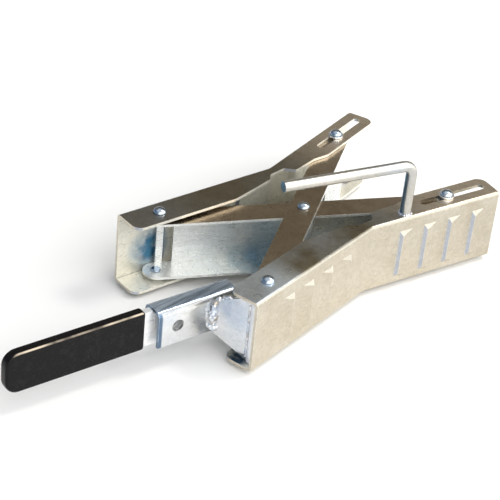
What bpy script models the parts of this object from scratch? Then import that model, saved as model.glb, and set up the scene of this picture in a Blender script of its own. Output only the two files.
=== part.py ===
"""Scissor wheel chock that is wedged between the two tyres of a tandem axle.

Two V-bent channel jaws are joined by a pair of channel arms that cross like scissors.
A gripped lever hangs on a rod at the end of the front jaw, and a bent rod stands on
the same jaw as a carrying handle.

Axes: X runs along the jaws, Y from the front jaw to the rear jaw, Z up.
Sizes below are in millimetres and are turned into metres when a mesh is made.
"""

import math

import bmesh
import bpy
from mathutils import Matrix, Vector

MM = 0.001
GAP = 0.3                    # air left between pieces that touch

# Jaws: one bent sheet each
JAW_HEIGHT = 76.0
SHEET = 3.0
FOLD_RADIUS = 3.6
LEFT_LENGTH = 182.6
LEFT_TILT = math.radians(7.5)
RIGHT_LENGTH = 158.6
RIGHT_TILT = math.radians(12.1)
VERTEX = Vector((3.0, -71.2))
VERTEX_RADIUS = 10.0
LEFT_FLANGE = 33.5
RIGHT_FLANGE = 32.0
FLANGE_CORNER = 9.5
END_LEAN = 2.0               # how much longer the right flanges are at their inner edge
INNER_FOLD_RADIUS = 1.2

# Inner edge of the flanges, from right to left: half, distance, inward, corner radius
FLANGE_EDGE = [
    ("right", 64.0, RIGHT_FLANGE, 10.0),
    ("right", 46.0, 26.0, 10.0),
    ("right", 15.0, 24.0, 3.0),
    ("right", 7.5, 12.5, 5.0),
    ("left", 7.5, 12.5, 5.0),
    ("left", 14.0, 20.0, 3.0),
    ("left", 66.0, LEFT_FLANGE, 25.0),
]

# Stamped teeth on the webs
TEETH_PER_HALF = 4
TOOTH_FIRST = 35.0
TOOTH_PITCH = 30.3
TOOTH_LENGTH = 15.0
TOOTH_STEP = 3.0
TOOTH_STEP_RUN = 2.6         # length of the steep side
TOOTH_END_RUN = 4.5          # height of the slopes at its two ends
TOOTH_SUNK = 1.0             # how deep its base lies in the sheet
TOOTH_SETBACK = 1.6          # how much further along the inner recess steps
TOOTH_BOTTOM = 9.0
TOOTH_TOP = 62.0

# Pivots, measured from the bend along the web and in from its outer face
HINGE_ALONG = 146.0
HINGE_IN = 17.2
SLIDER_ALONG = 103.4
SLIDER_IN = 17.5
SLOT_FIRST = 74.3
SLOT_LAST = 147.3
SLOT_SHIFT = -0.35
SHANK_RADIUS = 3.2
SHANK_HOLE = SHANK_RADIUS + GAP
SLOT_HALF_WIDTH = 4.25
HEAD_RADIUS = 6.4
HEAD_HEIGHT = 4.6
TAIL_RADIUS = 5.0
TAIL_HEIGHT = 2.0
TAIL_EDGE = 0.8
RIM_RADIUS = 8.0
RIM_HEIGHT = 1.3
WASHER_HEIGHT = 1.6
SPACER_RADIUS = 9.0

# Arms
ARM_SHEET = 2.7
ARM_WEB_SIDE = 14.0
ARM_HALF_WIDTH = 13.75
ARM_START_SHORT = 0.5        # how far the end arcs' centres stay short of the outer pivots
ARM_END_SHORT = 1.25
ARM_FOLD = 3.2
ARM_WEB_START = 1.0
ARM_WEB_BACK = 4.0
ARM_SLOT = (8.0, 18.0)
CROSSING_WINDOW = (-16.0, 38.0)

# Carrying rod
ROD_RADIUS = 5.5
ROD_ALONG = 45.1
ROD_BEND = 15.0
ROD_TOP = 130.0
ROD_REACH = 139.5
ROD_HEADING = math.radians(160.6)

# Lever
PIN_ALONG = 172.0
PIN_IN = 8.5
PIN_RADIUS = 4.75
STUB_RADIUS = 3.0
LEVER_START = Vector((-162.0, -46.0))
LEVER_HEADING = math.radians(170.9)
BRACKET_SPAN = (-8.0, 77.5)
BRACKET_WIDTH = 23.5
BRACKET_BOTTOM = 19.0
BRACKET_TOP = 57.0
BRACKET_SHEET = 3.0
BRACKET_CORNER = 7.0
LOCK_HOLE = (56.5, 38.0)
LOCK_HOLE_RADIUS = 6.2
BAR_THICKNESS = 6.4
BAR_BOTTOM = 19.5
BAR_LOW_TOP = 53.5
BAR_HIGH_TOP = 56.5
BAR_SHOULDER = 79.5
BAR_START = -6.0
BAR_END = 224.0
GRIP_START = 87.5
GRIP_END = 227.6
GRIP_WALL = 2.0
GRIP_CORNER = 13.0
GRIP_MOUTH_CORNER = 3.2
GRIP_EDGE = 2.6
BAR_NOSE = 12.0              # corner radius at the bar's free end
BAR_RIVET_ALONG = 9.0
BAR_SPACER_RADIUS = 7.5
GUSSET_ALONG = 18.0
GUSSET_SHEET = 3.0
GUSSET_TALL = (3.6, 72.4)

STAND = HEAD_HEIGHT + GAP    # the lower rivet heads are what the chock stands on
STEPS_PER_TURN = 24
RIVET_SIDES = 24
PAST_END = 20.0              # how far a cutting shape runs on past what it cuts
PAST_FACE = 5.0
SAME_POINT = 1e-4


# ---------------------------------------------------------------- plan geometry

def along_jaw(half, distance, inward):
    """Plan point on the front jaw, by distance from the bend and distance in from the web."""
    if half == "left":
        run = Vector((-math.cos(LEFT_TILT), -math.sin(LEFT_TILT)))
        side = Vector((-math.sin(LEFT_TILT), math.cos(LEFT_TILT)))
    else:
        run = Vector((math.cos(RIGHT_TILT), -math.sin(RIGHT_TILT)))
        side = Vector((math.sin(RIGHT_TILT), math.cos(RIGHT_TILT)))
    return VERTEX + run * distance + side * inward


def bend_point(inward):
    """Point inside the bend that lies the same distance from both halves of the web."""
    spread = (LEFT_TILT + RIGHT_TILT) / 2
    lean = (RIGHT_TILT - LEFT_TILT) / 2
    middle = Vector((math.sin(lean), math.cos(lean)))
    return VERTEX + middle * (inward / math.cos(spread))


def mirrored(point):
    return Vector((point.x, -point.y))


FRONT_HINGE = along_jaw("left", HINGE_ALONG, HINGE_IN)
FRONT_SLIDER = along_jaw("right", SLIDER_ALONG, SLIDER_IN)
REAR_HINGE = mirrored(FRONT_HINGE)
REAR_SLIDER = mirrored(FRONT_SLIDER)
ARM_RUN = (REAR_SLIDER - FRONT_HINGE).normalized()
ARM_LENGTH = (REAR_SLIDER - FRONT_HINGE).length
CENTRE_ALONG = -FRONT_HINGE.y / ARM_RUN.y
CENTRE = FRONT_HINGE + ARM_RUN * CENTRE_ALONG
LEVER_PIN = along_jaw("left", PIN_ALONG, PIN_IN)
ROD_FOOT = along_jaw("right", ROD_ALONG, SHEET + ROD_RADIUS + 0.5)
LEVER_RUN = Vector((math.cos(LEVER_HEADING), math.sin(LEVER_HEADING)))
LEVER_SIDE = Vector((LEVER_RUN.y, -LEVER_RUN.x))


def on_lever(along, sideways):
    """Plan point on the lever, along its length and back from its front face."""
    return LEVER_START + LEVER_RUN * along + LEVER_SIDE * sideways


def place(x, y, z):
    """Point of the chock in metres, with the origin on the floor below its middle."""
    return Vector((x + SHIFT_X, y, z + STAND)) * MM


# ---------------------------------------------------------------- outlines

def arc(centre, radius, start, end):
    """Points of an arc, start and end in degrees."""
    steps = max(2, math.ceil(abs(end - start) / 360.0 * STEPS_PER_TURN))
    points = []
    for step in range(steps + 1):
        angle = math.radians(start + (end - start) * step / steps)
        points.append(Vector((centre[0] + radius * math.cos(angle), centre[1] + radius * math.sin(angle))))
    return points


def circle(centre, radius):
    return arc(centre, radius, 0, 360)[:-1]


def rounded(corners):
    """Outline through (point, radius) corners, each turned into an arc of its radius."""
    points = []
    count = len(corners)
    for index, (corner, radius) in enumerate(corners):
        if radius == 0:
            points.append(corner.copy())
            continue
        before = (corners[index - 1][0] - corner).normalized()
        after = (corners[(index + 1) % count][0] - corner).normalized()
        half_angle = before.angle(after) / 2
        middle = (before + after).normalized()
        centre = corner + middle * (radius / math.sin(half_angle))
        first = corner + before * (radius / math.tan(half_angle)) - centre
        last = corner + after * (radius / math.tan(half_angle)) - centre
        turn = math.atan2(first.x * last.y - first.y * last.x, first.dot(last))
        steps = max(2, math.ceil(abs(turn) / math.tau * STEPS_PER_TURN))
        for step in range(steps + 1):
            swing = Matrix.Rotation(turn * step / steps, 2)
            points.append(centre + swing @ first)
    return points


def stadium(start, end, radius):
    """Outline of a slot between two centres."""
    heading = math.degrees(math.atan2(end.y - start.y, end.x - start.x))
    return arc(end, radius, heading - 90, heading + 90) + arc(start, radius, heading + 90, heading + 270)


# ---------------------------------------------------------------- solids

def add_prism(mesh, outline, low, high, to_space, fold_points=0, fold_radius=0.0):
    """Closed prism; the edges of its first outline points can be rounded as a sheet fold."""
    lower = [mesh.verts.new(to_space(point.x, point.y, low)) for point in outline]
    upper = [mesh.verts.new(to_space(point.x, point.y, high)) for point in outline]
    faces = [mesh.faces.new(lower), mesh.faces.new(upper)]
    count = len(outline)
    for index in range(count):
        after = (index + 1) % count
        faces.append(mesh.faces.new((lower[index], lower[after], upper[after], upper[index])))
    bmesh.ops.recalc_face_normals(mesh, faces=faces)
    folds = []
    for index in range(fold_points - 1):
        folds.append(mesh.edges.get((lower[index], lower[index + 1])))
        folds.append(mesh.edges.get((upper[index], upper[index + 1])))
    if folds:
        bmesh.ops.bevel(mesh, geom=folds, offset=fold_radius * MM, segments=4, profile=0.5,
                        affect="EDGES", clamp_overlap=False)


def add_turned(mesh, profile, to_space):
    """Closed body turned about an axis, from (radius, height) points that start and end on it."""
    rings = []
    for radius, height in profile:
        if radius == 0:
            rings.append([mesh.verts.new(to_space(0, 0, height))])
            continue
        ring = []
        for side in range(RIVET_SIDES):
            angle = math.tau * side / RIVET_SIDES
            ring.append(mesh.verts.new(to_space(radius * math.cos(angle), radius * math.sin(angle), height)))
        rings.append(ring)
    faces = []
    for lower, upper in zip(rings, rings[1:]):
        for index in range(RIVET_SIDES):
            after = (index + 1) % RIVET_SIDES
            corners = [lower[index % len(lower)], lower[after % len(lower)],
                       upper[after % len(upper)], upper[index % len(upper)]]
            faces.append(mesh.faces.new(list(dict.fromkeys(corners))))
    bmesh.ops.recalc_face_normals(mesh, faces=faces)


def add_ring(mesh, outer, inner, low, high, to_space):
    """Washer with a plain round bore."""
    loops = []
    for radius, height in ((outer, low), (outer, high), (inner, high), (inner, low)):
        loops.append([mesh.verts.new(to_space(point.x, point.y, height))
                      for point in circle((0, 0), radius)])
    faces = []
    for turn, loop in enumerate(loops):
        other = loops[(turn + 1) % len(loops)]
        for index in range(len(loop)):
            after = (index + 1) % len(loop)
            faces.append(mesh.faces.new((loop[index], loop[after], other[after], other[index])))
    bmesh.ops.recalc_face_normals(mesh, faces=faces)


def make_object(name, mesh, material, parent=None, smooth_angle=35):
    data = bpy.data.meshes.new(name)
    mesh.to_mesh(data)
    mesh.free()
    if smooth_angle:
        data.shade_smooth()
        data.set_sharp_from_angle(angle=math.radians(smooth_angle))
    made = bpy.data.objects.new(name, data)
    bpy.context.scene.collection.objects.link(made)
    if material:
        data.materials.append(material)
    if parent:
        made.parent = parent
        made.matrix_parent_inverse = parent.matrix_world.inverted()
    return made


def shape_with(target, name, mesh, operation):
    """Cut a mesh out of the target, or weld it on, with a Boolean modifier."""
    tool = make_object(name, mesh, None, target.parent, smooth_angle=0)
    tool.hide_render = True
    tool.display_type = "WIRE"
    modifier = target.modifiers.new(name, "BOOLEAN")
    modifier.object = tool
    modifier.operation = operation
    modifier.solver = "EXACT"


def make_axis(name, point, parent=None):
    """Empty on a vertical joint axis."""
    axis = bpy.data.objects.new(name, None)
    axis.location = place(point.x, point.y, 0)
    if parent:
        axis.location -= parent.matrix_world.translation
        axis.parent = parent
    bpy.context.scene.collection.objects.link(axis)
    bpy.context.view_layer.update()
    return axis


def make_material(name, colour, roughness, metallic):
    material = bpy.data.materials.new(name)
    material.use_nodes = True
    shader = material.node_tree.nodes["Principled BSDF"]
    shader.inputs["Base Color"].default_value = (*colour, 1.0)
    shader.inputs["Roughness"].default_value = roughness
    shader.inputs["Metallic"].default_value = metallic
    material.diffuse_color = (*colour, 1.0)
    return material


# ---------------------------------------------------------------- jaws

def add_tooth(mesh, half, start, inset, to_space):
    """Wedge that steps out at its start, nearest the bend, and ramps back to the web.

    Its base is sunk into the sheet, so its slopes run on past the web's face.
    """
    ramp_run = TOOTH_LENGTH - TOOTH_STEP_RUN
    grown = 1.0 + TOOTH_SUNK / TOOTH_STEP
    ridge = start + TOOTH_STEP_RUN
    ridge_low = TOOTH_BOTTOM + TOOTH_END_RUN
    ridge_high = TOOTH_TOP - TOOTH_END_RUN
    near = ridge - TOOTH_STEP_RUN * grown
    far = ridge + ramp_run * grown
    low = ridge_low - TOOTH_END_RUN * grown
    high = ridge_high + TOOTH_END_RUN * grown
    corners = [(distance, inset + TOOTH_SUNK, height)
               for distance, height in ((near, low), (near, high), (far, high), (far, low))]
    corners += [(ridge, inset - TOOTH_STEP, ridge_low), (ridge, inset - TOOTH_STEP, ridge_high)]
    verts = []
    for distance, inward, height in corners:
        point = along_jaw(half, distance, inward)
        verts.append(mesh.verts.new(to_space(point.x, point.y, height)))
    sides = [(0, 1, 2, 3), (0, 4, 5, 1), (1, 5, 2), (2, 5, 4, 3), (3, 4, 0)]
    faces = [mesh.faces.new([verts[index] for index in side]) for side in sides]
    bmesh.ops.recalc_face_normals(mesh, faces=faces)


def tooth_starts():
    return [TOOTH_FIRST + TOOTH_PITCH * index for index in range(TEETH_PER_HALF)]


def flange_outline():
    """Plan of a whole jaw: the web first, then round the inner edges of the flanges."""
    return rounded([
        (along_jaw("left", LEFT_LENGTH, 0), 0),
        (VERTEX.copy(), VERTEX_RADIUS),
        (along_jaw("right", RIGHT_LENGTH, 0), 0),
        (along_jaw("right", RIGHT_LENGTH + END_LEAN, RIGHT_FLANGE), FLANGE_CORNER),
        *[(along_jaw(half, distance, inward), radius) for half, distance, inward, radius in FLANGE_EDGE],
        (along_jaw("left", LEFT_LENGTH, LEFT_FLANGE), FLANGE_CORNER)])


GRIP_TIP = on_lever(GRIP_END, (BRACKET_WIDTH - BAR_THICKNESS) / 2)
SHIFT_X = -(GRIP_TIP.x + max(point.x for point in flange_outline())) / 2


def hollow_outline():
    """Plan of the room between the flanges, with the inner face of the web first."""
    left_end = LEFT_LENGTH + PAST_END
    right_end = RIGHT_LENGTH + PAST_END
    reach = LEFT_FLANGE + 2 * PAST_END
    return rounded([
        (along_jaw("left", left_end, SHEET), 0),
        (bend_point(SHEET), VERTEX_RADIUS + SHEET),
        (along_jaw("right", right_end, SHEET), 0),
        (along_jaw("right", right_end, reach), 0),
        (along_jaw("left", left_end, reach), 0)])


def web_points(outline):
    """Number of outline points on the folded side, which ends where the right web does."""
    ends = (along_jaw("right", RIGHT_LENGTH, 0), along_jaw("right", RIGHT_LENGTH + PAST_END, SHEET))
    for index, point in enumerate(outline):
        if min((point - end).length for end in ends) < SAME_POINT:
            return index + 1
    raise ValueError("outline has no web end")


def make_jaw(name, tooth_name, side, material, parent, with_handle_parts):
    """A jaw; side is 1 for the front one and -1 for its mirror image at the rear."""
    def to_space(x, y, z):
        return place(x, side * y, z)

    outline = flange_outline()
    body = bmesh.new()
    add_prism(body, outline, 0, JAW_HEIGHT, to_space, web_points(outline), FOLD_RADIUS)
    jaw = make_object(name, body, material, parent)

    teeth = bmesh.new()
    recesses = bmesh.new()
    for half in ("left", "right"):
        for start in tooth_starts():
            add_tooth(teeth, half, start, 0.0, to_space)
            add_tooth(recesses, half, start + TOOTH_SETBACK, SHEET, to_space)
    shape_with(jaw, tooth_name + "_teeth", teeth, "UNION")

    hollow = hollow_outline()
    room = bmesh.new()
    add_prism(room, hollow, SHEET, JAW_HEIGHT - SHEET, to_space, web_points(hollow),
              INNER_FOLD_RADIUS)
    shape_with(jaw, tooth_name + "_hollow", room, "DIFFERENCE")
    shape_with(jaw, tooth_name + "_recesses", recesses, "DIFFERENCE")

    holes = bmesh.new()
    below = -PAST_FACE
    above = JAW_HEIGHT + PAST_FACE
    add_prism(holes, circle(FRONT_HINGE, SHANK_HOLE), below, above, to_space)
    slot_in = SLIDER_IN + SLOT_SHIFT
    slot = stadium(along_jaw("right", SLOT_FIRST, slot_in), along_jaw("right", SLOT_LAST, slot_in),
                   SLOT_HALF_WIDTH)
    add_prism(holes, slot, below, above, to_space)
    if with_handle_parts:
        add_prism(holes, circle(LEVER_PIN, STUB_RADIUS + GAP), below, above, to_space)
        add_prism(holes, circle(ROD_FOOT, ROD_RADIUS + GAP), JAW_HEIGHT / 2, above, to_space)
    shape_with(jaw, tooth_name + "_holes", holes, "DIFFERENCE")
    return jaw


# ---------------------------------------------------------------- arms

def make_arm(name, side, low, high, material, parent, crossing_window):
    """Channel arm; side is 1 for the one on the front jaw's hinge, -1 for its mirror image."""
    across = Vector((ARM_RUN.y, -ARM_RUN.x))

    def to_space(along, sideways, z):
        point = FRONT_HINGE + ARM_RUN * along + across * sideways
        return place(point.x, side * point.y, z)

    middle = ARM_WEB_SIDE - ARM_HALF_WIDTH
    first = ARM_START_SHORT
    last = ARM_LENGTH - ARM_END_SHORT
    outline = [Vector((first, ARM_WEB_SIDE)), Vector((last, ARM_WEB_SIDE))]
    outline += arc((last, middle), ARM_HALF_WIDTH, 90, -90)[1:]
    outline += arc((first, middle), ARM_HALF_WIDTH, -90, -270)[:-1]
    body = bmesh.new()
    add_prism(body, outline, low, high, to_space, 2, ARM_FOLD)
    arm = make_object(name, body, material, parent)

    inner = ARM_WEB_SIDE - ARM_SHEET
    far = 2 * PAST_END
    gaps = [(ARM_SLOT[0], ARM_SLOT[1])]
    if crossing_window:
        gaps.append((CENTRE_ALONG + CROSSING_WINDOW[0], CENTRE_ALONG + CROSSING_WINDOW[1]))
    room_outline = [Vector((-far, -far)), Vector((-far, far)),
                    Vector((ARM_WEB_START, far)), Vector((ARM_WEB_START, inner))]
    for start, end in gaps:
        room_outline += [Vector((start, inner)), Vector((start, far)),
                         Vector((end, far)), Vector((end, inner))]
    room_outline += [Vector((ARM_LENGTH - ARM_WEB_BACK, inner)), Vector((ARM_LENGTH - ARM_WEB_BACK, far)),
                     Vector((ARM_LENGTH + far, far)), Vector((ARM_LENGTH + far, -far))]
    room = bmesh.new()
    add_prism(room, room_outline, low + ARM_SHEET, high - ARM_SHEET, to_space)
    shape_with(arm, name + "_hollow", room, "DIFFERENCE")

    holes = bmesh.new()
    for along in (0.0, CENTRE_ALONG, ARM_LENGTH):
        add_prism(holes, circle((along, 0), SHANK_HOLE), low - PAST_FACE,
                  high + PAST_FACE, to_space)
    shape_with(arm, name + "_holes", holes, "DIFFERENCE")
    return arm


# ---------------------------------------------------------------- rivets and washers

def dome(radius, height, base, steps=5):
    """Profile of a domed head from its rim to its top."""
    points = []
    for step in range(steps + 1):
        angle = math.pi / 2 * step / steps
        points.append((radius * math.cos(angle), base + height * math.sin(angle)))
    points[-1] = (0, base + height)
    return points


def make_rivet(name, point, outer_face, inner_face, upward, material, parent, rimmed=False):
    """Rivet through a stack of sheet: a domed head outside and a flat formed tail inside.

    Faces are heights of the stack; upward is 1 for a head on top and -1 for one below.
    """
    def to_space(x, y, z):
        return place(point.x + x, point.y + upward * y, upward * z)

    head = upward * outer_face + GAP
    tail = upward * inner_face - GAP
    end = tail - TAIL_HEIGHT
    profile = [(0, end), (TAIL_RADIUS - TAIL_EDGE, end), (TAIL_RADIUS, end + TAIL_EDGE),
               (TAIL_RADIUS, tail), (SHANK_RADIUS, tail), (SHANK_RADIUS, head)]
    if rimmed:
        profile += [(RIM_RADIUS, head), (RIM_RADIUS, head + RIM_HEIGHT)]
        profile += dome(HEAD_RADIUS - 0.6, HEAD_HEIGHT - RIM_HEIGHT, head + RIM_HEIGHT)
    else:
        profile += dome(HEAD_RADIUS, HEAD_HEIGHT, head)
    body = bmesh.new()
    add_turned(body, profile, to_space)
    return make_object(name, body, material, parent)


def make_washer(name, point, outer, inner, low, high, material, parent):
    def to_space(x, y, z):
        return place(point.x + x, point.y + y, z)

    body = bmesh.new()
    add_ring(body, outer, inner, low, high, to_space)
    return make_object(name, body, material, parent)


def make_pivots(material, front_jaw_parent, arm_b_axis, arm_a_axis, rear_jaw_axis):
    """Rivets and washers at the five pivots, the same above and below."""
    outer_arm = SHEET + GAP + ARM_SHEET
    inner_arm = outer_arm + GAP + ARM_SHEET
    for level, upward in (("top", 1), ("bottom", -1)):
        def at(depth):
            """Height that lies this deep under the jaw's outer face on this side."""
            return JAW_HEIGHT - depth if upward == 1 else depth

        make_rivet("centre_rivet_" + level, CENTRE, at(SHEET + GAP), at(inner_arm), upward,
                   material, arm_b_axis)
        make_rivet("front_hinge_rivet_" + level, FRONT_HINGE, at(0), at(outer_arm), upward,
                   material, front_jaw_parent)
        make_rivet("rear_hinge_rivet_" + level, REAR_HINGE, at(0), at(inner_arm), upward,
                   material, rear_jaw_axis)
        lifted = GAP + WASHER_HEIGHT if upward == 1 else 0
        for name, point, depth, parent in (("front", FRONT_SLIDER, inner_arm, arm_a_axis),
                                           ("rear", REAR_SLIDER, outer_arm, arm_b_axis)):
            make_rivet(name + "_slider_rivet_" + level, point, at(-lifted), at(depth), upward,
                       material, parent, rimmed=upward == -1)
            if upward == 1:
                make_washer(name + "_slider_washer", point, RIM_RADIUS, SHANK_HOLE,
                            JAW_HEIGHT + GAP, JAW_HEIGHT + GAP + WASHER_HEIGHT, material, parent)
        faces = sorted((at(SHEET + GAP), at(SHEET + GAP + ARM_SHEET)))
        for name, point in (("rear_hinge", REAR_HINGE), ("front_slider", FRONT_SLIDER)):
            make_washer(name + "_spacer_" + level, point, SPACER_RADIUS, SHANK_HOLE,
                        faces[0], faces[1], material, arm_a_axis)


# ---------------------------------------------------------------- carrying rod

def make_carrying_rod(material):
    """Round rod that rises along the web and bends over the middle of the chock."""
    heading = Vector((math.cos(ROD_HEADING), math.sin(ROD_HEADING)))
    centre_radius = ROD_BEND - ROD_RADIUS
    path = [Vector((0, SHEET + GAP)), Vector((0, ROD_TOP - centre_radius))]
    corner = arc((centre_radius, ROD_TOP - centre_radius), centre_radius, 180, 90)
    path += corner[1:] + [Vector((ROD_REACH, ROD_TOP))]

    body = bmesh.new()
    rings = []
    sides = 20
    for index, centre in enumerate(path):
        before = path[max(index - 1, 0)]
        after = path[min(index + 1, len(path) - 1)]
        ahead = (after - before).normalized()
        normal = Vector((-ahead.y, ahead.x))
        ring = []
        for side in range(sides):
            angle = math.tau * side / sides
            out = centre + normal * (ROD_RADIUS * math.cos(angle))
            sideways = ROD_RADIUS * math.sin(angle)
            x = ROD_FOOT.x + heading.x * out.x - heading.y * sideways
            y = ROD_FOOT.y + heading.y * out.x + heading.x * sideways
            ring.append(body.verts.new(place(x, y, out.y)))
        rings.append(ring)
    for lower, upper in zip(rings, rings[1:]):
        for side in range(sides):
            after = (side + 1) % sides
            body.faces.new((lower[side], lower[after], upper[after], upper[side]))
    body.faces.new(rings[0])
    body.faces.new(rings[-1])
    bmesh.ops.recalc_face_normals(body, faces=body.faces[:])
    return make_object("carrying_rod", body, material)


# ---------------------------------------------------------------- lever

def make_lever_pin(material, parent):
    """Rod at the end of the jaw, with a thinner stub in each flange."""
    def to_space(x, y, z):
        return place(LEVER_PIN.x + x, LEVER_PIN.y + y, z)

    shoulder = SHEET + GAP
    profile = [(0, GAP), (STUB_RADIUS, GAP), (STUB_RADIUS, shoulder), (PIN_RADIUS, shoulder),
               (PIN_RADIUS, JAW_HEIGHT - shoulder), (STUB_RADIUS, JAW_HEIGHT - shoulder),
               (STUB_RADIUS, JAW_HEIGHT - GAP), (0, JAW_HEIGHT - GAP)]
    body = bmesh.new()
    add_turned(body, profile, to_space)
    return make_object("lever_pin", body, material, parent)


def make_gusset(material, parent):
    """Upright plate from the pin to the bracket's front face, tapering to its height."""
    target = on_lever(GUSSET_ALONG, 0)
    run = (target - LEVER_PIN).normalized()
    side = Vector((-run.y, run.x))

    def to_space(along, z, sideways):
        point = LEVER_PIN + run * along + side * sideways
        return place(point.x, point.y, z)

    start = PIN_RADIUS + GAP
    end = (target - LEVER_PIN).length - 1.0
    outline = [Vector((start, GUSSET_TALL[0])), Vector((end, BRACKET_BOTTOM)),
               Vector((end, BRACKET_TOP - 2)), Vector((start, GUSSET_TALL[1]))]
    body = bmesh.new()
    add_prism(body, outline, -GUSSET_SHEET / 2, GUSSET_SHEET / 2, to_space)
    return make_object("gusset_plate", body, material, parent)


def make_bracket(material, parent):
    """Sheet folded over the bar, open below, with a hole for a padlock through both legs."""
    def across(sideways, z, along):
        point = on_lever(along, sideways)
        return place(point.x, point.y, z)

    def through(along, z, sideways):
        return across(sideways, z, along)

    inner_corner = BRACKET_CORNER - BRACKET_SHEET
    far = BRACKET_WIDTH - BRACKET_SHEET
    crown = BRACKET_TOP - BRACKET_CORNER
    outline = [Vector((0, BRACKET_BOTTOM))]
    outline += arc((BRACKET_CORNER, crown), BRACKET_CORNER, 180, 90)
    outline += arc((BRACKET_WIDTH - BRACKET_CORNER, crown), BRACKET_CORNER, 90, 0)
    outline += [Vector((BRACKET_WIDTH, BRACKET_BOTTOM)), Vector((far, BRACKET_BOTTOM))]
    outline += arc((far - inner_corner, crown), inner_corner, 0, 90)
    outline += arc((BRACKET_CORNER, crown), inner_corner, 90, 180)
    outline += [Vector((BRACKET_SHEET, BRACKET_BOTTOM))]
    body = bmesh.new()
    add_prism(body, outline, BRACKET_SPAN[0], BRACKET_SPAN[1], across)
    bracket = make_object("lever_bracket", body, material, parent)

    holes = bmesh.new()
    rivet_hole = circle((BAR_RIVET_ALONG, LOCK_HOLE[1]), SHANK_HOLE)
    for hole in (circle(LOCK_HOLE, LOCK_HOLE_RADIUS), rivet_hole):
        add_prism(holes, hole, -PAST_FACE, BRACKET_WIDTH + PAST_FACE, through)
    shape_with(bracket, "lever_bracket_holes", holes, "DIFFERENCE")
    return bracket


def bar_outline(margin):
    """Side view of the flat bar, grown by a margin."""
    low = BAR_BOTTOM - margin
    high = BAR_HIGH_TOP + margin
    end = BAR_END + margin
    return rounded([
        (Vector((BAR_START - margin, low)), 0),
        (Vector((end, low)), BAR_NOSE + margin),
        (Vector((end, high)), BAR_NOSE + margin),
        (Vector((BAR_SHOULDER - margin, high)), 0),
        (Vector((BAR_SHOULDER - margin, BAR_LOW_TOP)), 0),
        (Vector((BAR_START - margin, BAR_LOW_TOP)), 0)])


def make_bar_and_grip(steel, vinyl, parent):
    """Flat bar fixed in the bracket, and the dipped grip over its free end."""
    middle = BRACKET_WIDTH / 2

    def to_space(along, z, sideways):
        point = on_lever(along, middle + sideways)
        return place(point.x, point.y, z)

    half = BAR_THICKNESS / 2
    body = bmesh.new()
    add_prism(body, bar_outline(0.0), -half, half, to_space)
    bar = make_object("lever_bar", body, steel, parent)
    holes = bmesh.new()
    rivet_hole = circle((BAR_RIVET_ALONG, LOCK_HOLE[1]), SHANK_HOLE)
    for hole in (circle(LOCK_HOLE, LOCK_HOLE_RADIUS + GAP), rivet_hole):
        add_prism(holes, hole, -half - PAST_FACE, half + PAST_FACE, to_space)
    shape_with(bar, "lever_bar_holes", holes, "DIFFERENCE")

    outer = half + GAP + GRIP_WALL
    low = BAR_BOTTOM - GAP - GRIP_WALL
    high = BAR_HIGH_TOP + GAP + GRIP_WALL
    outline = rounded([
        (Vector((GRIP_START, low)), GRIP_MOUTH_CORNER),
        (Vector((GRIP_END, low)), GRIP_CORNER),
        (Vector((GRIP_END, high)), GRIP_CORNER),
        (Vector((GRIP_START, high)), GRIP_MOUTH_CORNER)])
    sleeve = bmesh.new()
    add_prism(sleeve, outline, -outer, outer, to_space)
    broad_sides = [face for face in sleeve.faces if len(face.verts) == len(outline)]
    rim = [edge for face in broad_sides for edge in face.edges]
    bmesh.ops.bevel(sleeve, geom=rim, offset=GRIP_EDGE * MM, segments=3, profile=0.5,
                    affect="EDGES", clamp_overlap=True)
    grip = make_object("grip", sleeve, vinyl, parent)
    room = bmesh.new()
    add_prism(room, bar_outline(GAP), -half - GAP, half + GAP, to_space)
    shape_with(grip, "grip_hollow", room, "DIFFERENCE")


def make_bar_fixing(material, parent):
    """Cross rivet that holds the bar in the bracket, with a spacer on each side of the bar."""
    def to_space(x, y, sideways):
        point = on_lever(BAR_RIVET_ALONG + x, sideways)
        return place(point.x, point.y, LOCK_HOLE[1] + y)

    front = -GAP
    back = BRACKET_WIDTH + GAP
    front_dome = dome(HEAD_RADIUS, -HEAD_HEIGHT, front)
    profile = front_dome[::-1] + [(SHANK_RADIUS, front), (SHANK_RADIUS, back)]
    profile += dome(HEAD_RADIUS, HEAD_HEIGHT, back)
    body = bmesh.new()
    add_turned(body, profile, to_space)
    make_object("bar_rivet", body, material, parent)

    half = BAR_THICKNESS / 2
    middle = BRACKET_WIDTH / 2
    spans = {"front": (BRACKET_SHEET + GAP, middle - half - GAP),
             "back": (middle + half + GAP, BRACKET_WIDTH - BRACKET_SHEET - GAP)}
    for name, (near, far) in spans.items():
        spacer = bmesh.new()
        add_ring(spacer, BAR_SPACER_RADIUS, SHANK_HOLE, near, far, to_space)
        make_object("bar_spacer_" + name, spacer, material, parent)


# ---------------------------------------------------------------- the chock

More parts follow.
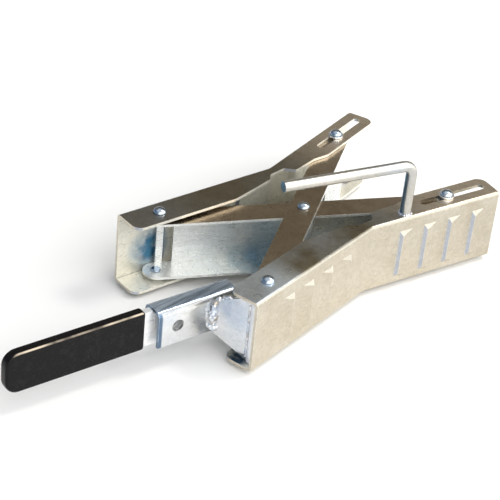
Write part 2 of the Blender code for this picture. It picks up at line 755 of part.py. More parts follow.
def main():
    for item in list(bpy.data.objects):
        bpy.data.objects.remove(item, do_unlink=True)

    galvanised = make_material("galvanised_steel", (0.66, 0.62, 0.54), 0.34, 1.0)
    arm_zinc = make_material("arm_zinc", (0.55, 0.52, 0.46), 0.32, 1.0)
    bright_zinc = make_material("bright_zinc", (0.70, 0.73, 0.77), 0.2, 1.0)
    rod_zinc = make_material("rod_zinc", (0.70, 0.70, 0.67), 0.42, 1.0)
    vinyl = make_material("black_vinyl", (0.012, 0.011, 0.011), 0.28, 0.0)

    arm_b_axis = make_axis("front_hinge_axis", FRONT_HINGE)
    arm_a_axis = make_axis("centre_axis", CENTRE, arm_b_axis)
    rear_jaw_axis = make_axis("rear_hinge_axis", REAR_HINGE, arm_a_axis)
    lever_axis = make_axis("lever_axis", LEVER_PIN)

    make_jaw("front_jaw", "front", 1, galvanised, None, True)
    make_jaw("rear_jaw", "rear", -1, galvanised, rear_jaw_axis, False)

    outer_arm_face = SHEET + GAP
    inner_arm_face = outer_arm_face + ARM_SHEET + GAP
    make_arm("arm_a", -1, inner_arm_face, JAW_HEIGHT - inner_arm_face, arm_zinc, arm_a_axis, False)
    make_arm("arm_b", 1, outer_arm_face, JAW_HEIGHT - outer_arm_face, arm_zinc, arm_b_axis, True)
    make_pivots(bright_zinc, None, arm_b_axis, arm_a_axis, rear_jaw_axis)
    make_carrying_rod(rod_zinc)

    make_lever_pin(rod_zinc, lever_axis)
    make_gusset(bright_zinc, lever_axis)
    make_bracket(bright_zinc, lever_axis)
    make_bar_and_grip(bright_zinc, vinyl, lever_axis)
    make_bar_fixing(bright_zinc, lever_axis)


main()
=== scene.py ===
"""Looks of the scissor wheel chock: finishes, weld beads, soft studio light and the camera.

Lengths are metres, except the camera's lens and sensor, which are millimetres. Texture scales
are roughly the number of marks in one metre.
"""

import math
import random
from collections import namedtuple

import bmesh
import bpy
from mathutils import Matrix, Vector


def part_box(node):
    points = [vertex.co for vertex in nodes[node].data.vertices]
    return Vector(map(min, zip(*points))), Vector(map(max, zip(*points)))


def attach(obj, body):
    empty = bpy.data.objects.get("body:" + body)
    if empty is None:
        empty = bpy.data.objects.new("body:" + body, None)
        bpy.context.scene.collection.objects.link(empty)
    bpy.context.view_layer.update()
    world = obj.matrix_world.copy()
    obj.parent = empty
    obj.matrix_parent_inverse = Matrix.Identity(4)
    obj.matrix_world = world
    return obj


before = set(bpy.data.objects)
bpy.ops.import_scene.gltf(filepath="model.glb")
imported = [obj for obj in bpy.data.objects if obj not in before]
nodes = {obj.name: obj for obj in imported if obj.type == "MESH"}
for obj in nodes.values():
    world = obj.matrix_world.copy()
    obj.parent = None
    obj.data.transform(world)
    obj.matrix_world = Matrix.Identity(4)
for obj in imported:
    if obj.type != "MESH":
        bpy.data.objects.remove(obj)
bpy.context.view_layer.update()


def rgb(red, green, blue):
    return (red, green, blue, 1.0)


def middle(node):
    low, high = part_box(node)
    return (low + high) / 2


# ---------------------------------------------------------------- places and directions
UP = (0.0, 0.0, 1.0)
TO_FRONT = (0.0, -1.0, 0.0)
TO_REAR = (0.0, 1.0, 0.0)
REAR_HINGE = middle("rear_hinge_rivet_bottom")
CROSSING = middle("centre_rivet_bottom")
PIN = middle("lever_pin")
GUSSET = middle("gusset_plate")
BRACKET_LOW, BRACKET_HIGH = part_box("lever_bracket")

# ---------------------------------------------------------------- colours of painted shade and reflection, and of a patch and worn edges
# Deep blue, painted as shade by the rear hinge and as reflection on the bent rod's far side.
DEEP_BLUE_SHADE_AND_REFLECTION = rgb(0.07, 0.21, 0.35)
# Soft blue, painted as shade on the arms near their crossing.
SOFT_BLUE_SHADE = rgb(0.40, 0.56, 0.68)
NAVY_SHADE = rgb(0.035, 0.075, 0.13)
BLUE_SHADE = rgb(0.06, 0.13, 0.23)
GREY_SHADE = rgb(0.10, 0.09, 0.07)
# Violet-grey of a darker patch on the gusset's upper part.
VIOLET_GREY = rgb(0.44, 0.50, 0.60)
WORN_ZINC = rgb(0.92, 0.91, 0.88)

# ---------------------------------------------------------------- node helpers
MIX_FACTOR, MIX_FIRST, MIX_SECOND, MIX_RESULT = 0, 6, 7, 2
FULL_METAL = 1.0
NO_METAL = 0.0


class Nodes:
    """A node tree with short ways to add nodes and join them."""

    def __init__(self, tree):
        self.tree = tree

    def feed(self, socket, value):
        if isinstance(value, bpy.types.NodeSocket):
            self.tree.links.new(value, socket)
        else:
            socket.default_value = value

    def node(self, kind, **inputs):
        made = self.tree.nodes.new(kind)
        for name, value in inputs.items():
            self.feed(made.inputs[name.replace("_", " ")], value)
        return made

    def spread(self, value, low, high, to_low=0.0, to_high=1.0):
        """Stretches low..high to to_low..to_high and holds what lies outside."""
        made = self.node("ShaderNodeMapRange", Value=value, From_Min=low, From_Max=high,
                         To_Min=to_low, To_Max=to_high)
        return made.outputs["Result"]

    def match(self, first, second):
        """How well two directions agree: 1 along, 0 across and -1 against each other."""
        made = self.tree.nodes.new("ShaderNodeVectorMath")
        made.operation = "DOT_PRODUCT"
        self.feed(made.inputs[0], first)
        self.feed(made.inputs[1], second)
        return made.outputs["Value"]

    def blend(self, factor, first, second, kind="MIX"):
        made = self.tree.nodes.new("ShaderNodeMix")
        made.data_type = "RGBA"
        made.blend_type = kind
        self.feed(made.inputs[MIX_FACTOR], factor)
        self.feed(made.inputs[MIX_FIRST], first)
        self.feed(made.inputs[MIX_SECOND], second)
        return made.outputs[MIX_RESULT]


class Shader(Nodes):
    """The node tree of a new material, with the marks and masks that the finishes need."""

    def __init__(self, name):
        self.material = bpy.data.materials.new(name)
        self.material.use_nodes = True
        super().__init__(self.material.node_tree)
        self.surface = self.tree.nodes["Principled BSDF"]
        coordinates = self.tree.nodes.new("ShaderNodeTexCoord")
        self.place = coordinates.outputs["Object"]
        self.outward = coordinates.outputs["Normal"]
        axes = self.tree.nodes.new("ShaderNodeSeparateXYZ")
        self.feed(axes.inputs[0], self.place)
        self.along = axes.outputs["X"]
        self.height = axes.outputs["Z"]

    def stretched(self, scale):
        mapping = self.node("ShaderNodeMapping", Vector=self.place, Scale=scale)
        return mapping.outputs["Vector"]

    def clouds(self, scale, detail=4.0, roughness=0.55, space=None):
        made = self.node("ShaderNodeTexNoise", Vector=space or self.place, Scale=scale,
                         Detail=detail, Roughness=roughness)
        return made.outputs["Fac"]

    def cells(self, scale):
        made = self.node("ShaderNodeTexVoronoi", Vector=self.place, Scale=scale)
        return made.outputs["Color"]

    def calc(self, operation, first, second=0.5):
        made = self.tree.nodes.new("ShaderNodeMath")
        made.operation = operation
        self.feed(made.inputs[0], first)
        self.feed(made.inputs[1], second)
        return made.outputs[0]

    def times(self, first, second):
        return self.calc("MULTIPLY", first, second)

    def most(self, first, second):
        return self.calc("MAXIMUM", first, second)

    def rest(self, value):
        return self.calc("SUBTRACT", 1.0, value)

    def near(self, point, full, none):
        """1 within `full` metres of a point, 0 beyond `none` metres."""
        gap = self.tree.nodes.new("ShaderNodeVectorMath")
        gap.operation = "DISTANCE"
        self.feed(gap.inputs[0], self.place)
        self.feed(gap.inputs[1], point)
        return self.spread(gap.outputs["Value"], full, none, 1.0, 0.0)

    def facing(self, direction, start, full):
        """1 on faces whose outward direction lies near a direction of the piece, else 0."""
        return self.spread(self.match(self.outward, direction), start, full)

    def edges(self, radius):
        """1 along sharp edges, where plating is rubbed bright, and 0 on flat faces."""
        rounded = self.node("ShaderNodeBevel", Radius=radius)
        rounded.samples = 4
        plain = self.tree.nodes.new("ShaderNodeNewGeometry")
        agreement = self.match(rounded.outputs["Normal"], plain.outputs["Normal"])
        return self.spread(agreement, 0.99, 0.80)

    def bump(self, height, distance):
        made = self.node("ShaderNodeBump", Height=height, Distance=distance, Strength=1.0)
        self.feed(self.surface.inputs["Normal"], made.outputs["Normal"])

    def finish(self, colour, roughness, metallic):
        self.feed(self.surface.inputs["Base Color"], colour)
        self.feed(self.surface.inputs["Roughness"], roughness)
        self.feed(self.surface.inputs["Metallic"], metallic)
        return self.material


# ---------------------------------------------------------------- zinc on rolled sheet
# The painted reflection on outer faces that look up, darker and tinted as they mirror the room:
# its tones at the lever end, in the centre and at the slotted end, the strength of the dark
# painted streaks through it, and the height it starts at.
PaintedTop = namedtuple("PaintedTop", "lever_end centre slotted_end drawn above", defaults=(0.0, 0.060))
# Inner faces with painted light, paler and less metallic, except near the crossing, which lies
# in shade.
Inner = namedtuple("Inner", "directions colour metal")
# A round spot, such as painted shade: full strength within one distance of its place, gone
# beyond the other.
Spot = namedtuple("Spot", "place full none colour")

# The height over which the painted top reflection sets in, and the places along X where its tone
# changes.
PAINTED_TOP_FADE = 0.006
LEVER_END_FADE = (-0.024, 0.006)
SLOTTED_END_FADE = (0.13, 0.20)
PAINTED_TOP_FACING = (0.55, 0.95)
PAINTED_STREAK_STRETCH = (14.0, 190.0, 14.0)
INNER_FACING = (0.25, 0.65)
CROSSING_SHADE_REACH = (0.045, 0.120)
CROSSING_SHADE_STRENGTH = 0.92
PALE_STRENGTH = 0.8
STEP_DIRECTIONS = ((-0.75, -0.66, 0.0), (-0.75, 0.66, 0.0))
STEP_STRENGTH = 0.85
SIDE_STRENGTH = 0.85
FOLD_STRENGTH = 0.5
BAND_HALF = (0.0018, 0.0030)
BAND_STRENGTH = 0.9
WEAR_RADIUS = 0.0011
WEAR_POLISH = 0.10
STREAK_STRETCH = (0.3, 0.3, 1.6)
PIT_DEPTH = 0.00006
WAVE_SHARE = 3.0


def cloudy_zinc(s, light, dark, tint):
    """Plain zinc: soft patches of two tones with a tint drifting over them."""
    tone = s.spread(s.clouds(28.0, 5.0, 0.6), 0.34, 0.66)
    hue = s.spread(s.clouds(13.0, 3.0), 0.50, 0.70, 0.0, 0.8)
    return s.blend(hue, s.blend(tone, light, dark), tint)


def painted_top_reflection(s, colour, painted_top):
    """Painted reflection on the outer faces that look up. Gives the colour and how far it
    covers.
    """
    outside = s.spread(s.height, painted_top.above, painted_top.above + PAINTED_TOP_FADE)
    patches = s.times(s.spread(s.clouds(17.0, 5.0, 0.6), 0.36, 0.58, 0.55, 1.0),
                      s.spread(s.along, *LEVER_END_FADE))
    tone = s.blend(patches, painted_top.lever_end, painted_top.centre)
    tone = s.blend(s.spread(s.along, *SLOTTED_END_FADE), tone, painted_top.slotted_end)
    # Dark painted streaks of reflection, stretched along the piece.
    lines = s.spread(s.clouds(1.0, 3.0, 0.5, s.stretched(PAINTED_STREAK_STRETCH)), 0.42, 0.62)
    tone = s.blend(s.times(lines, painted_top.drawn), tone, NAVY_SHADE)
    cover = s.times(s.facing(UP, *PAINTED_TOP_FACING), outside)
    return s.blend(cover, colour, tone), cover


def painted_light_inside(s, colour, metal, cover, inner):
    """Painted light: paler, less metallic inner faces, held back near the shaded crossing. Gives
    the colour, the metal and which faces are inner.
    """
    inside = 0.0
    for direction in inner.directions:
        inside = s.most(s.facing(direction, *INNER_FACING), inside)
    inside = s.times(inside, s.rest(cover))
    crossing_shade = s.times(s.near(CROSSING, *CROSSING_SHADE_REACH), CROSSING_SHADE_STRENGTH)
    lit_inside = s.times(inside, s.rest(crossing_shade))
    colour = s.blend(s.times(lit_inside, PALE_STRENGTH), colour, inner.colour)
    return colour, s.spread(lit_inside, 0.0, 1.0, metal, inner.metal), inside


def painted_step_shade(s, colour, tint):
    """Painted bluish-grey shade on the sheared end faces of the stamped teeth."""
    near_step, far_step = STEP_DIRECTIONS
    sheared = s.most(s.facing(near_step, 0.88, 0.95), s.facing(far_step, 0.88, 0.95))
    return s.blend(s.times(sheared, STEP_STRENGTH), colour, tint)


def painted_fold_shade(s, colour):
    """Painted grey shade on faces that lean back: the folds and the upper slopes of the teeth.
    """
    leaning = s.times(s.facing(UP, 0.25, 0.45), s.facing(UP, 0.97, 0.85))
    return s.blend(s.times(leaning, FOLD_STRENGTH), colour, GREY_SHADE)


def spotted(s, colour, metallic, inside, spot):
    """One round spot of colour on the inner faces, such as painted shade. It is clear metal, so
    its colour stays deep.
    """
    halo = s.times(s.near(spot.place, spot.full, spot.none),
                   s.spread(s.clouds(60.0, 3.0), 0.30, 0.55, 0.35, 1.0))
    halo = s.times(halo, inside)
    return s.blend(halo, colour, spot.colour), s.most(metallic, halo)


def shaded_band(s, colour, metallic, cover, band_at):
    """Narrow blue band at one place along the piece, where the sheet is rolled over."""
    gap = s.calc("ABSOLUTE", s.calc("SUBTRACT", s.along, band_at))
    band = s.times(s.spread(gap, *BAND_HALF, BAND_STRENGTH, 0.0), s.rest(cover))
    return s.blend(band, colour, BLUE_SHADE), s.most(metallic, band)


def sheet_surface(s, colour, metallic, roughness):
    """Fine crystals, worn edges, rolling streaks and shallow pits over any zinc colour."""
    crystals = s.spread(s.cells(330.0), 0.0, 1.0, 0.90, 1.06)
    grain = s.spread(s.clouds(900.0, 3.0), 0.3, 0.7, 0.92, 1.06)
    colour = s.blend(1.0, colour, s.times(crystals, grain), "MULTIPLY")
    worn = s.times(s.edges(WEAR_RADIUS), s.spread(s.clouds(160.0, 4.0), 0.35, 0.65, 0.25, 0.9))
    colour = s.blend(worn, colour, WORN_ZINC)
    streaks = s.clouds(240.0, 4.0, 0.6, s.stretched(STREAK_STRETCH))
    rough = s.spread(streaks, 0.3, 0.7, roughness - 0.04, roughness + 0.06)
    rough = s.calc("SUBTRACT", rough, s.times(worn, WEAR_POLISH))
    pits = s.calc("ADD", s.clouds(650.0, 4.0), s.times(s.clouds(60.0, 2.0), WAVE_SHARE))
    s.bump(pits, PIT_DEPTH)
    return s.finish(colour, rough, metallic)


def plated_sheet(name, tones, roughness, metal=FULL_METAL, painted_top=None, inner=None,
                 step_shade=None, blue_reflection_side=None, spots=(), band_at=None):
    """Zinc-plated sheet: light, dark and tinted tones, then its marks, mostly painted
    reflection, light and shade.
    """
    s = Shader(name)
    colour = cloudy_zinc(s, *tones)
    metallic, cover, inside = metal, 0.0, 1.0
    # Painted reflection on the outer faces that look up.
    if painted_top:
        colour, cover = painted_top_reflection(s, colour, painted_top)
    # Painted light on the inner faces, held back near the shaded crossing.
    if inner:
        colour, metallic, inside = painted_light_inside(s, colour, metal, cover, inner)
    # Painted bluish-grey shade on the step faces of the teeth.
    if step_shade:
        colour = painted_step_shade(s, colour, step_shade)
    # Painted grey shade on faces that lean back.
    if painted_top:
        colour = painted_fold_shade(s, colour)
    # Painted deep blue shade and reflection on the faces that look along this direction.
    if blue_reflection_side:
        side = s.times(s.facing(blue_reflection_side, 0.30, 0.85), SIDE_STRENGTH)
        colour = s.blend(side, colour, DEEP_BLUE_SHADE_AND_REFLECTION)
    # Round spots of colour, mostly painted shade.
    for spot in spots:
        colour, metallic = spotted(s, colour, metallic, inside, spot)
    if band_at is not None:
        colour, metallic = shaded_band(s, colour, metallic, cover, band_at)
    return sheet_surface(s, colour, metallic, roughness)


# ---------------------------------------------------------------- one finish per kind of piece
BRIGHT_TONES = (rgb(0.80, 0.80, 0.79), rgb(0.70, 0.72, 0.75), rgb(0.58, 0.67, 0.79))
BRIGHT_METAL = 0.80
BRIGHT_ROUGHNESS = 0.16


def galvanised_jaw(name, inward, lever_end):
    """Galvanised channel with its web's inner face looking along `inward`."""
    # Painted light and shade on the jaw: reflection on the tops, lever_end being its tone at the
    # lever end; paler inner faces; bluish-grey steps; deep blue shade by the rear hinge; navy
    # shade behind the lever pin.
    hinge_shade = REAR_HINGE + Vector((0.004, 0.012, 0.024))
    tail_shade = PIN + Vector((-0.002, 0.016, -0.036))
    return plated_sheet(
        name, (rgb(0.60, 0.555, 0.47), rgb(0.52, 0.465, 0.365), rgb(0.59, 0.54, 0.45)), 0.30,
        painted_top=PaintedTop(lever_end, rgb(0.30, 0.26, 0.19), rgb(0.92, 0.80, 0.66)),
        inner=Inner([inward, UP], rgb(0.95, 0.93, 0.82), 0.40),
        step_shade=rgb(0.38, 0.42, 0.50),
        spots=[Spot(hinge_shade, 0.010, 0.030, DEEP_BLUE_SHADE_AND_REFLECTION),
                Spot(tail_shade, 0.013, 0.022, NAVY_SHADE)])


def arm_zinc():
    """Painted brownish reflection on the arms' tops, painted light inside, painted blue shade
    where the arms meet.
    """
    return plated_sheet(
        "arm_zinc_look",
        (rgb(0.80, 0.80, 0.75), rgb(0.66, 0.67, 0.63), rgb(0.52, 0.62, 0.68)), 0.28,
        painted_top=PaintedTop(rgb(0.52, 0.43, 0.32), rgb(0.40, 0.31, 0.22), rgb(0.56, 0.47, 0.37)),
        inner=Inner([TO_FRONT, TO_REAR, UP], rgb(0.97, 0.98, 0.96), 0.45),
        spots=[Spot(CROSSING.lerp(REAR_HINGE, 0.30), 0.004, 0.034, SOFT_BLUE_SHADE)])


def bright_zinc():
    """Bright zinc of the gusset plate, washers and spacers."""
    # A darker violet-grey patch on the gusset's upper part.
    spot = Spot(GUSSET + Vector((0.0, 0.0, 0.014)), 0.008, 0.024, VIOLET_GREY)
    return plated_sheet("bright_zinc_look", BRIGHT_TONES, BRIGHT_ROUGHNESS, metal=BRIGHT_METAL,
                        spots=[spot])


def bracket_zinc():
    """Bright zinc with a painted bluish reflection and dark painted streaks on the top, and a
    painted blue shade band at the bracket's mouth.
    """
    even_top = rgb(0.70, 0.74, 0.78)
    return plated_sheet(
        "bracket_zinc_look", BRIGHT_TONES, BRIGHT_ROUGHNESS, metal=BRIGHT_METAL,
        painted_top=PaintedTop(rgb(0.62, 0.74, 0.90), even_top, even_top, drawn=0.7,
                  above=BRACKET_HIGH.z - 0.008),
        band_at=BRACKET_LOW.x + 0.0015)


def bar_zinc():
    """Whitish zinc of the flat bar."""
    return plated_sheet(
        "bar_zinc_look",
        (rgb(0.90, 0.90, 0.89), rgb(0.80, 0.81, 0.83), rgb(0.72, 0.78, 0.84)), 0.30, metal=0.45)


def rivet_blue_reflection():
    """Zinc of the rivet heads, darker and bluish as a painted reflection."""
    return plated_sheet(
        "rivet_zinc_look",
        (rgb(0.50, 0.56, 0.63), rgb(0.36, 0.44, 0.54), rgb(0.26, 0.38, 0.52)), 0.15)


def pin_zinc():
    """Whitish upright rod with painted light on its sides and a painted grey reflection on its
    end, like the flange around it.
    """
    end = rgb(0.66, 0.70, 0.72)
    around = [(-0.74, -0.67, 0.0), (0.74, 0.67, 0.0), (0.67, -0.74, 0.0), (-0.67, 0.74, 0.0)]
    return plated_sheet(
        "pin_zinc_look",
        (rgb(0.86, 0.87, 0.90), rgb(0.74, 0.77, 0.82), rgb(0.66, 0.72, 0.80)), 0.36,
        painted_top=PaintedTop(end, end, end), inner=Inner(around, rgb(0.88, 0.89, 0.92), 0.35))


def rod_zinc():
    """Duller zinc of the bent rod, with painted blue shade and reflection on the side away from
    the slots.
    """
    return plated_sheet(
        "rod_zinc_look",
        (rgb(0.57, 0.55, 0.50), rgb(0.49, 0.48, 0.45), rgb(0.46, 0.50, 0.55)), 0.36,
        blue_reflection_side=(-0.72, 0.69, 0.0))


def black_vinyl():
    """Dipped vinyl: glossy black with faint orange peel, dust and a painted highlight along its
    upper edge.
    """
    s = Shader("black_vinyl_look")
    dust = s.spread(s.clouds(140.0, 6.0, 0.65), 0.50, 0.80)
    colour = s.blend(dust, rgb(0.006, 0.0055, 0.006), rgb(0.016, 0.014, 0.014))
    rubbed = s.times(s.edges(0.0014), s.spread(s.clouds(90.0), 0.4, 0.6, 0.1, 0.6))
    colour = s.blend(rubbed, colour, rgb(0.035, 0.030, 0.027))
    # Painted highlight: a warm light line on the faces along the upper long edge.
    upper_edge = (-0.10, -0.60, 0.79)
    painted_highlight = s.times(s.facing(upper_edge, 0.90, 0.98),
                      s.spread(s.clouds(35.0, 3.0), 0.36, 0.60, 0.15, 1.0))
    colour = s.blend(painted_highlight, colour, rgb(0.58, 0.49, 0.38))
    rough = s.spread(s.clouds(75.0, 4.0), 0.3, 0.7, 0.17, 0.30)
    s.bump(s.clouds(420.0, 2.0), 0.00006)
    s.surface.inputs["Specular IOR Level"].default_value = 0.13
    return s.finish(colour, rough, NO_METAL)


def weld_metal():
    """Weld bead under zinc: bright ridges, straw and blue heat tints in the hollows."""
    s = Shader("weld_look")
    heat = s.spread(s.clouds(170.0, 4.0), 0.38, 0.66)
    colour = s.blend(heat, rgb(0.88, 0.89, 0.92), rgb(0.50, 0.60, 0.74))
    straw = s.spread(s.clouds(120.0, 3.0), 0.50, 0.66, 0.0, 0.75)
    colour = s.blend(straw, colour, rgb(0.45, 0.34, 0.20))
    rough = s.spread(s.clouds(300.0, 4.0), 0.3, 0.7, 0.22, 0.42)
    s.bump(s.clouds(700.0, 4.0), 0.00012)
    return s.finish(colour, rough, FULL_METAL)


def pale_floor():
    """Matt floor, nearly white, with a very faint cloudiness."""
    s = Shader("pale_floor")
    shade = s.spread(s.clouds(3.0, 3.0), 0.3, 0.7)
    colour = s.blend(shade, rgb(0.90, 0.90, 0.895), rgb(0.915, 0.915, 0.91))
    rough = s.spread(s.clouds(40.0), 0.3, 0.7, 0.85, 0.95)
    s.surface.inputs["Specular IOR Level"].default_value = 0.15
    return s.finish(colour, rough, NO_METAL)


# ---------------------------------------------------------------- CAD nodes
SLOT_FINISH = {
    # The last colour of each jaw is the painted reflection on its top at the lever end.
    "galvanised_steel": galvanised_jaw("front_galvanised_look", TO_REAR, rgb(0.82, 0.90, 0.98)),
    "arm_zinc": arm_zinc(),
    "bright_zinc": bright_zinc(),
    "rod_zinc": rod_zinc(),
    "black_vinyl": black_vinyl(),
}
OWN_FINISH = {
    "rear_jaw": galvanised_jaw("rear_galvanised_look", TO_FRONT, rgb(0.38, 0.37, 0.35)),
    "lever_pin": pin_zinc(),
    "lever_bracket": bracket_zinc(),
    "lever_bar": bar_zinc(),
}
RIVET_FINISH = rivet_blue_reflection()

EDGE_ROUND = {
    "front_jaw": 0.0004,
    "rear_jaw": 0.0004,
    "arm_a": 0.0004,
    "arm_b": 0.0004,
    "lever_bracket": 0.0005,
    "gusset_plate": 0.0004,
    "grip": 0.0008,
}
OTHER_EDGE_ROUND = 0.0003
SHARP_ANGLE = math.radians(32)
SAME_PLANE_ANGLE = math.radians(0.6)
SAME_CORNER = 0.00001
FLAT_FACE_WEIGHT = 60


def clean_shading():
    """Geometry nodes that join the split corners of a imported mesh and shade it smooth."""
    group = bpy.data.node_groups.new("clean_shading", "GeometryNodeTree")
    group.interface.new_socket("Geometry", in_out="INPUT", socket_type="NodeSocketGeometry")
    group.interface.new_socket("Geometry", in_out="OUTPUT", socket_type="NodeSocketGeometry")
    start = group.nodes.new("NodeGroupInput")
    drop = group.nodes.new("GeometryNodeRemoveAttribute")
    drop.inputs["Name"].default_value = "custom_normal"
    merge = group.nodes.new("GeometryNodeMergeByDistance")
    merge.inputs["Distance"].default_value = SAME_CORNER
    smooth = group.nodes.new("GeometryNodeSetShadeSmooth")
    smooth.inputs["Shade Smooth"].default_value = True
    end = group.nodes.new("NodeGroupOutput")
    group.links.new(start.outputs[0], drop.inputs["Geometry"])
    group.links.new(drop.outputs["Geometry"], merge.inputs["Geometry"])
    group.links.new(merge.outputs["Geometry"], smooth.inputs["Geometry"])
    group.links.new(smooth.outputs["Geometry"], end.inputs[0])
    return group


def round_edges(item, width):
    """Rounds the sharp edges of a piece and keeps its flat faces flat in the light."""
    bevel = item.modifiers.new("rounded edges", "BEVEL")
    bevel.limit_method = "ANGLE"
    bevel.angle_limit = SHARP_ANGLE
    bevel.width = width
    bevel.segments = 2
    bevel.use_clamp_overlap = True
    bevel.miter_outer = "MITER_ARC"
    weight = item.modifiers.new("flat faces", "WEIGHTED_NORMAL")
    weight.weight = FLAT_FACE_WEIGHT


def finish_of(name, slot):
    if "rivet" in name:
        return RIVET_FINISH
    return OWN_FINISH.get(name, SLOT_FINISH[slot])


def dress_cad_nodes():
    shading = clean_shading()
    for name, item in nodes.items():
        item.data.materials[0] = finish_of(name, item.data.materials[0].name)
        joined = item.modifiers.new("joined corners", "NODES")
        joined.node_group = shading
        flat = item.modifiers.new("whole faces", "DECIMATE")
        flat.decimate_type = "DISSOLVE"
        flat.angle_limit = SAME_PLANE_ANGLE
        round_edges(item, EDGE_ROUND.get(name, OTHER_EDGE_ROUND))


# ---------------------------------------------------------------- weld beads
# A bead's radius, its number of lumps, how far they stray from its path, and its random seed.
Bead = namedtuple("Bead", "radius lumps wander seed")
BEADS = {
    "bracket_weld": Bead(0.0030, 26, 0.0014, 5),
    "bracket_weld_back": Bead(0.0020, 22, 0.0006, 8),
    "gusset_weld_top": Bead(0.0016, 14, 0.0008, 11),
    "pin_weld_back": Bead(0.0014, 44, 0.0005, 17),
    "pin_weld": Bead(0.0013, 60, 0.0003, 17),
    "pin_head_weld": Bead(0.0017, 5, 0.0002, 23),
    "rod_weld": Bead(0.0013, 40, 0.0003, 31),
}
# Shares of the bead's radius, and of a lump's height.
LUMP_SIZE = (0.75, 1.25)
MELT_VOXEL = 0.22
LUMP_SQUASH = (0.6, 0.9)
HALF_SHEET = 0.0015
# How far the weld on the pin lies from the pin's axis, along the plate and across it.
PIN_WELD_ALONG = 0.0055
PIN_WELD_ACROSS = 0.0014
RING_GAP = 0.0006
ROD_RADIUS = 0.0055
ROD_RING_STEPS = 24
WELD = weld_metal()


def upright(height):
    return Vector((0.0, 0.0, height))


def point_along(path, share):
    """Point that lies a share of the way along a path of straight legs."""
    legs = [(second - first).length for first, second in zip(path, path[1:])]
    travel = sum(legs) * share
    leg = 0
    while travel > legs[leg]:
        travel -= legs[leg]
        leg += 1
    return path[leg].lerp(path[leg + 1], travel / legs[leg])


def weld_bead(name, body, path):
    """Row of overlapping lumps along a path, melted into one bead."""
    bead = BEADS[name]
    draw = random.Random(bead.seed)
    mesh = bpy.data.meshes.new(name)
    form = bmesh.new()
    for lump in range(bead.lumps):
        centre = point_along(path, (lump + 0.5) / bead.lumps)
        centre += Vector([draw.uniform(-bead.wander, bead.wander) for axis in range(3)])
        size = bead.radius * draw.uniform(*LUMP_SIZE)
        squash = Matrix.Diagonal((1.0, 1.0, draw.uniform(*LUMP_SQUASH), 1.0))
        bmesh.ops.create_icosphere(form, subdivisions=2, radius=size,
                                   matrix=Matrix.Translation(centre) @ squash)
    form.to_mesh(mesh)
    form.free()
    mesh.materials.append(WELD)
    item = bpy.data.objects.new(name, mesh)
    bpy.context.scene.collection.objects.link(item)
    melt = item.modifiers.new("melted", "REMESH")
    melt.mode = "VOXEL"
    melt.voxel_size = bead.radius * MELT_VOXEL
    melt.use_smooth_shade = True
    settle = item.modifiers.new("settled", "SMOOTH")
    settle.factor = 0.5
    settle.iterations = 2
    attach(item, body)


class GussetPlate:
    """Places on the upright plate, measured along it from the pin towards the bracket."""

    def __init__(self):
        self.low, self.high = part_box("gusset_plate")
        self.start = Vector((self.high.x - HALF_SHEET, self.low.y, 0.0))
        end = Vector((self.low.x + HALF_SHEET, self.high.y, 0.0))
        self.length = (end - self.start).length
        self.run = (end - self.start).normalized()
        self.left = Vector((-self.run.y, self.run.x, 0.0))

    def at(self, along, sideways, height):
        return self.start + self.run * along + self.left * sideways + upright(height)


def weld_bracket(plate):
    """Wide bead on the seen side of the plate, a thin one behind and one over its top edge."""
    bottom, top = BRACKET_LOW.z, BRACKET_HIGH.z
    end, side = plate.length, HALF_SHEET
    weld_bead("bracket_weld", "lever",
              [plate.at(end - 0.0008, side + 0.0012, bottom + 0.004),
               plate.at(end - 0.0016, side + 0.0018, (bottom + top) / 2),
               plate.at(end - 0.0030, side + 0.0012, top - 0.004)])
    weld_bead("bracket_weld_back", "lever",
              [plate.at(end - 0.0008, -side - 0.0008, bottom + 0.005),
               plate.at(end - 0.0008, -side - 0.0008, top - 0.006)])
    weld_bead("gusset_weld_top", "lever",
              [plate.at(end - 0.002, 0.0, top - 0.002),
               plate.at(end * 0.55, 0.0, top + 0.0075)])


def weld_pin(plate):
    """Thin beads between plate and pin, clear of the jaw's web however the lever swings."""
    bottom, top = plate.low.z, plate.high.z
    side = HALF_SHEET + 0.0006
    weld_bead("pin_weld_back", "lever",
              [plate.at(0.0002, -side, bottom + 0.004),
               plate.at(0.0002, -side, top - 0.003)])
    corner = Vector((PIN.x, PIN.y, 0.0))
    corner += plate.run * PIN_WELD_ALONG + plate.left * PIN_WELD_ACROSS
    weld_bead("pin_weld", "lever",
              [corner + upright(bottom + 0.003), corner + upright(top - 0.010)])
    knob = corner + upright(top - 0.0105)
    weld_bead("pin_head_weld", "lever", [knob + upright(-0.0010), knob + upright(0.0010)])


def weld_rod():
    """Ring of weld where the bent rod enters the front jaw's upper flange."""
    rod_low, rod_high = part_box("carrying_rod")
    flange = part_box("front_jaw")[1].z
    foot = Vector((rod_high.x - ROD_RADIUS, rod_low.y + ROD_RADIUS, flange + 0.0004))
    turns = [math.tau * step / ROD_RING_STEPS for step in range(ROD_RING_STEPS + 1)]
    ring = [foot + Vector((math.cos(turn), math.sin(turn), 0.0)) * (ROD_RADIUS + RING_GAP)
            for turn in turns]
    weld_bead("rod_weld", "front", ring)


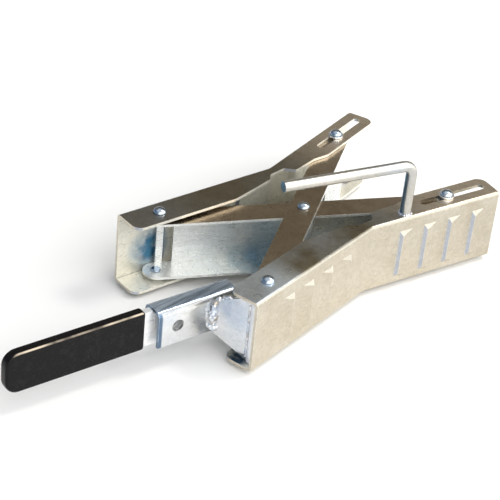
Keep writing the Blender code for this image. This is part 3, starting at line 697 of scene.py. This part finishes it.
# ---------------------------------------------------------------- floor and light
Light = namedtuple("Light", "name place aim size power colour")
LIGHTS = (
    Light("key", (-1.0, -1.5, 1.9), (0.0, 0.0, 0.05), (1.4, 1.0), 3.0, (1.0, 0.98, 0.95)),
    Light("overhead", (1.05, -0.45, 1.8), (0.0, 0.0, 0.0), (0.5, 0.5), 12.0, (1.0, 0.97, 0.92)),
    Light("fill", (1.6, -1.4, 1.3), (0.05, 0.0, 0.05), (1.4, 1.0), 3.0, (1.0, 0.96, 0.90)),
)
FLOOR_HALF = 6.0
ROOM_STRENGTH = 0.85
BEYOND_OBJECT = (0.74, 0.67, 0.0)
TO_WINDOW = (0.15, -0.99, 0.0)
TO_BLUE_CORNER = (-0.80, 0.60, 0.0)
NONE = rgb(0, 0, 0)
ALL = rgb(1, 1, 1)
WALLS = [(0.0, rgb(0.75, 0.74, 0.72)), (0.45, rgb(0.60, 0.60, 0.60)),
         (0.72, rgb(0.30, 0.29, 0.26)), (1.0, rgb(0.24, 0.22, 0.18))]
WINDOW = [(0.0, rgb(3.1, 3.04, 2.92)), (1.0, rgb(3.1, 3.1, 3.1))]
WINDOW_MASK = [(0.0, NONE), (0.60, NONE), (0.80, ALL), (1.0, ALL)]
BLUE_CORNER = [(0.0, rgb(0.55, 0.62, 0.72)), (0.25, rgb(0.10, 0.19, 0.32)),
               (0.6, rgb(0.25, 0.36, 0.50)), (1.0, rgb(0.8, 0.85, 0.9))]
BLUE_CORNER_MASK = [(0.0, NONE), (0.76, NONE), (0.88, ALL), (1.0, ALL)]
CEILING = rgb(1.1, 1.12, 1.15)
CEILING_MASK = [(0.0, NONE), (0.80, NONE), (0.93, ALL), (1.0, ALL)]


def lay_floor():
    mesh = bpy.data.meshes.new("floor")
    form = bmesh.new()
    bmesh.ops.create_grid(form, x_segments=8, y_segments=8, size=FLOOR_HALF)
    form.to_mesh(mesh)
    form.free()
    mesh.materials.append(pale_floor())
    item = bpy.data.objects.new("floor", mesh)
    bpy.context.scene.collection.objects.link(item)


def area_light(light):
    data = bpy.data.lights.new(light.name, "AREA")
    data.shape = "RECTANGLE"
    data.size, data.size_y = light.size
    data.energy = light.power
    data.color = light.colour
    item = bpy.data.objects.new(light.name, data)
    item.location = light.place
    aim = Vector(light.aim) - Vector(light.place)
    item.rotation_euler = aim.to_track_quat("-Z", "Y").to_euler()
    bpy.context.scene.collection.objects.link(item)


class Room(Nodes):
    """The node tree of the world, with short ways to paint the room by direction."""

    def __init__(self):
        world = bpy.data.worlds.new("studio")
        bpy.context.scene.world = world
        world.use_nodes = True
        super().__init__(world.node_tree)
        self.backdrop = self.tree.nodes["Background"]
        self.direction = self.tree.nodes.new("ShaderNodeTexCoord").outputs["Generated"]
        axes = self.node("ShaderNodeSeparateXYZ", Vector=self.direction)
        self.height = axes.outputs["Z"]

    def ramp(self, value, stops):
        made = self.node("ShaderNodeValToRGB", Fac=value)
        elements = made.color_ramp.elements
        while len(elements) < len(stops):
            elements.new(0.5)
        for element, (position, colour) in zip(elements, stops):
            element.position = position
            element.color = colour
        return made.outputs["Color"]

    def along(self, direction):
        """0 looking against a direction of the room, 1 looking along it."""
        return self.spread(self.match(self.direction, direction), -1.0, 1.0)


def studio_world():
    """Pale walls, a bright window in front, a blue corner, a dull wall beyond, a lit ceiling."""
    room = Room()
    walls = room.ramp(room.along(BEYOND_OBJECT), WALLS)
    blue_mask = room.ramp(room.along(TO_BLUE_CORNER), BLUE_CORNER_MASK)
    walls = room.blend(blue_mask, walls, room.ramp(room.height, BLUE_CORNER))
    window_mask = room.ramp(room.along(TO_WINDOW), WINDOW_MASK)
    walls = room.blend(window_mask, walls, room.ramp(room.height, WINDOW))
    whole = room.blend(room.ramp(room.height, CEILING_MASK), walls, CEILING)
    room.feed(room.backdrop.inputs["Color"], whole)
    room.feed(room.backdrop.inputs["Strength"], ROOM_STRENGTH)


# ---------------------------------------------------------------- camera
CAMERA_AZIMUTH = math.radians(-47.88)
CAMERA_ELEVATION = math.radians(32.75)
CAMERA_ROLL = math.radians(5.96)
CAMERA_DISTANCE = 1.5826
CAMERA_LENS = 117.1
CAMERA_SENSOR = 36.0
CAMERA_NEAREST = 0.01
CAMERA_TARGET = Vector((0.0332, 0.0126, 0.0429))


def set_camera():
    level = math.cos(CAMERA_ELEVATION)
    back = Vector((math.sin(CAMERA_AZIMUTH) * level, -math.cos(CAMERA_AZIMUTH) * level,
                   math.sin(CAMERA_ELEVATION)))
    right = (-back).cross(Vector(UP)).normalized()
    up = right.cross(-back)
    turned_right = right * math.cos(CAMERA_ROLL) + up * math.sin(CAMERA_ROLL)
    turned_up = up * math.cos(CAMERA_ROLL) - right * math.sin(CAMERA_ROLL)
    data = bpy.data.cameras.new("camera")
    data.lens = CAMERA_LENS
    data.sensor_width = CAMERA_SENSOR
    data.clip_start = CAMERA_NEAREST
    item = bpy.data.objects.new("camera", data)
    pose = Matrix((turned_right, turned_up, back)).transposed().to_4x4()
    pose.translation = CAMERA_TARGET + back * CAMERA_DISTANCE
    item.matrix_world = pose
    bpy.context.scene.collection.objects.link(item)
    bpy.context.scene.camera = item


# ---------------------------------------------------------------- the scene
dress_cad_nodes()
gusset = GussetPlate()
weld_bracket(gusset)
weld_pin(gusset)
weld_rod()
lay_floor()
studio_world()
for lamp in LIGHTS:
    area_light(lamp)
set_camera()
bpy.context.scene.view_settings.view_transform = "Standard"
